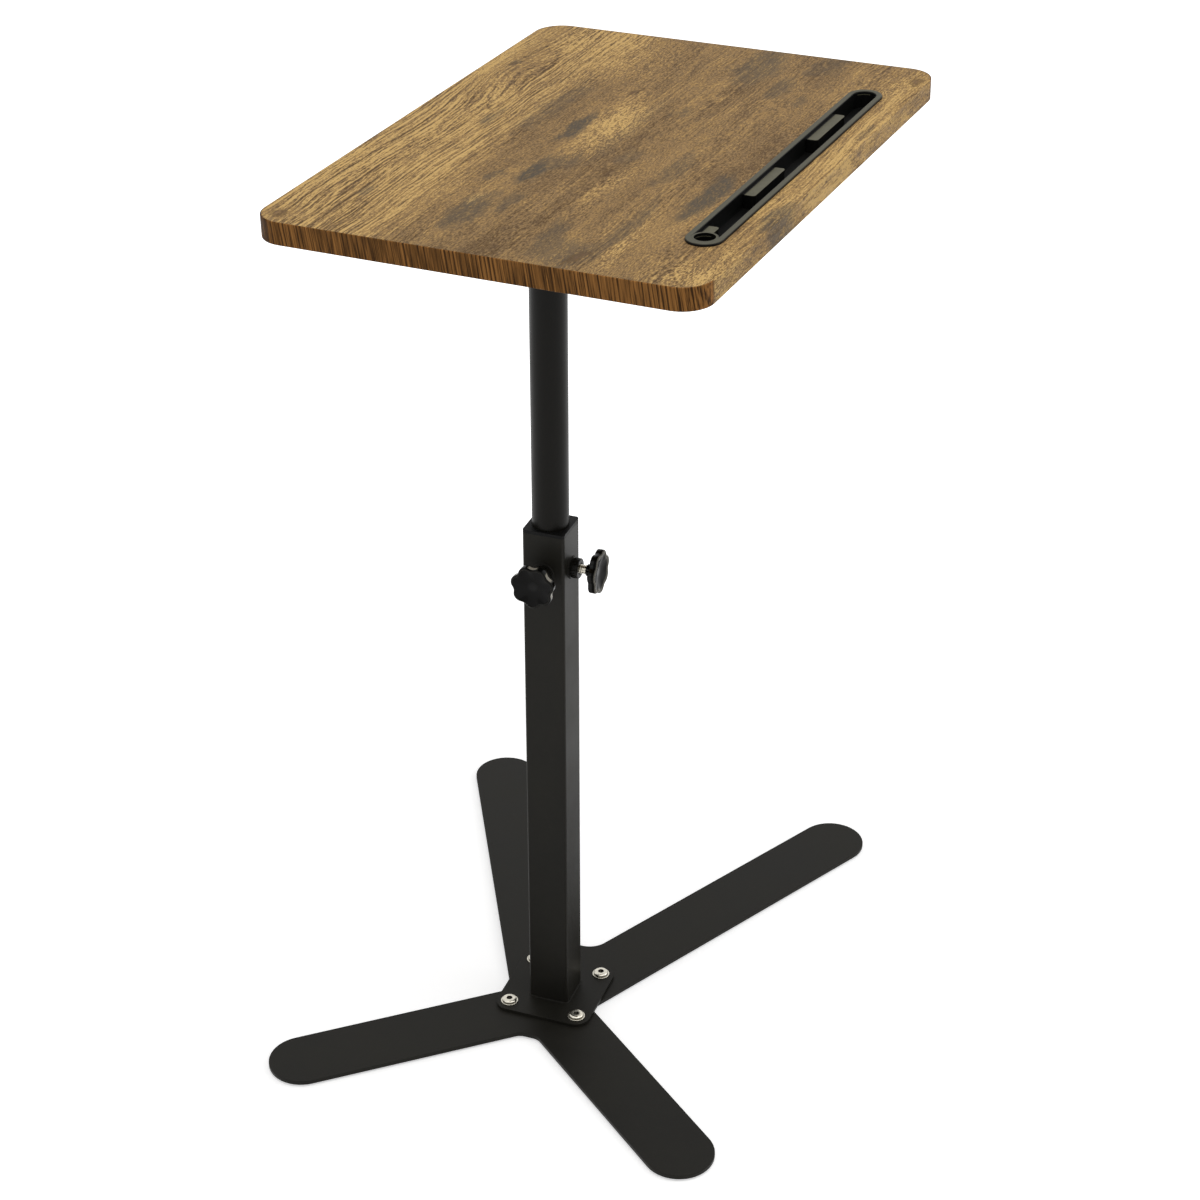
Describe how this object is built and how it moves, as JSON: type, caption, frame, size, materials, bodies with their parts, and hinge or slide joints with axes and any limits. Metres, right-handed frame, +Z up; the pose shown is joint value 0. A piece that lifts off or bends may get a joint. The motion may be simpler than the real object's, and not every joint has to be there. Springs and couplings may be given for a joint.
{
  "type": "laptop desk",
  "caption": "Free-standing laptop desk: tilting rounded board with a tablet slot, on a clamped round mast in a square column over a flat cross base.",
  "frame": {"origin": "on the floor under the mast's axis, which is also the column's", "axes": "+Z up along the mast; +Y from the user's edge of the board to its rear edge with the tablet slot; +X along the board's width, towards the end with the pen well"},
  "size_m": [0.6204, 0.4786, 0.8666],
  "materials": {
    "black_powder_coat": "satin",
    "mast_paint": "semi-gloss",
    "weld_boss": "satin",
    "zinc_steel": "bright zinc",
    "bush_nylon": "matt black",
    "white_nylon": "matt natural",
    "knob_plastic": "gloss black",
    "foot_rubber": "matt",
    "board_wood": "satin, brown oak grain",
    "band_wood": "satin, darker brown",
    "tray_plastic": "satin"
  },
  "bodies": {
    "base": {"base_plate": "black_powder_coat", "foot_pads": "foot_rubber", "column_flange": "black_powder_coat", "column_tube": "black_powder_coat", "flange_bolts": "zinc_steel", "flange_washers": "zinc_steel", "column_bush": "bush_nylon", "front_boss": "weld_boss", "side_boss": "weld_boss"},
    "guide": {"lower_guide": "white_nylon"},
    "mast": {"mast_tube": "mast_paint", "tilt_yoke": "black_powder_coat", "tilt_weld_nut": "zinc_steel", "thrust_washers": "white_nylon", "pivot_bolt": "zinc_steel", "pivot_nut": "zinc_steel", "pivot_washers": "zinc_steel"},
    "top": {"top_bracket": "black_powder_coat", "bracket_screws": "zinc_steel", "table_top": "board_wood", "edge_band": "band_wood", "tablet_tray": "tray_plastic"},
    "front_screw": {"front_clamp_screw": "zinc_steel"},
    "front_knob": {"front_clamp_knob": "knob_plastic"},
    "side_screw": {"side_clamp_screw": "zinc_steel"},
    "side_knob": {"side_clamp_knob": "knob_plastic"},
    "tilt_screw": {"tilt_lock_screw": "zinc_steel", "tilt_lock_washer": "zinc_steel"},
    "tilt_knob": {"tilt_lock_knob": "knob_plastic"}
  },
  "joints": [
    {"name": "height", "type": "slide", "parent": "base", "child": "guide", "axis": [0, 0, 1], "range_m": [-0.22, 0.08]},
    {"name": "swivel", "type": "hinge", "parent": "guide", "child": "mast", "pos_m": [0, 0, 0.5], "axis": [0, 0, 1], "continuous": true},
    {"name": "tilt", "type": "hinge", "parent": "mast", "child": "top", "pos_m": [0, 0, 0.815], "axis": [1, 0, 0], "range_deg": [-1.2, 38.8]},
    {"name": "front_clamp_travel", "type": "slide", "parent": "base", "child": "front_screw", "axis": [0.9962, 0.0872, 0], "range_m": [0, 0.0025]},
    {"name": "front_clamp_turn", "type": "hinge", "parent": "front_screw", "child": "front_knob", "pos_m": [0, 0, 0.4695], "axis": [0.9962, 0.0872, 0], "range_deg": [0, 720]},
    {"name": "side_clamp_travel", "type": "slide", "parent": "base", "child": "side_screw", "axis": [-0.0872, 0.9962, 0], "range_m": [0, 0.0025]},
    {"name": "side_clamp_turn", "type": "hinge", "parent": "side_screw", "child": "side_knob", "pos_m": [0, 0, 0.4695], "axis": [-0.0872, 0.9962, 0], "range_deg": [0, 720]},
    {"name": "tilt_lock_travel", "type": "slide", "parent": "mast", "child": "tilt_screw", "axis": [1, 0, 0], "range_m": [0, 0.0025]},
    {"name": "tilt_lock_turn", "type": "hinge", "parent": "tilt_screw", "child": "tilt_knob", "pos_m": [0, 0, 0.789], "axis": [1, 0, 0], "range_deg": [0, 720]}
  ],
  "couplings": [
    {"joint": "front_clamp_turn", "follows": "front_clamp_travel", "rad_per_m": 5026.5},
    {"joint": "side_clamp_turn", "follows": "side_clamp_travel", "rad_per_m": 5026.5},
    {"joint": "tilt_lock_turn", "follows": "tilt_lock_travel", "rad_per_m": 5026.5}
  ]
}
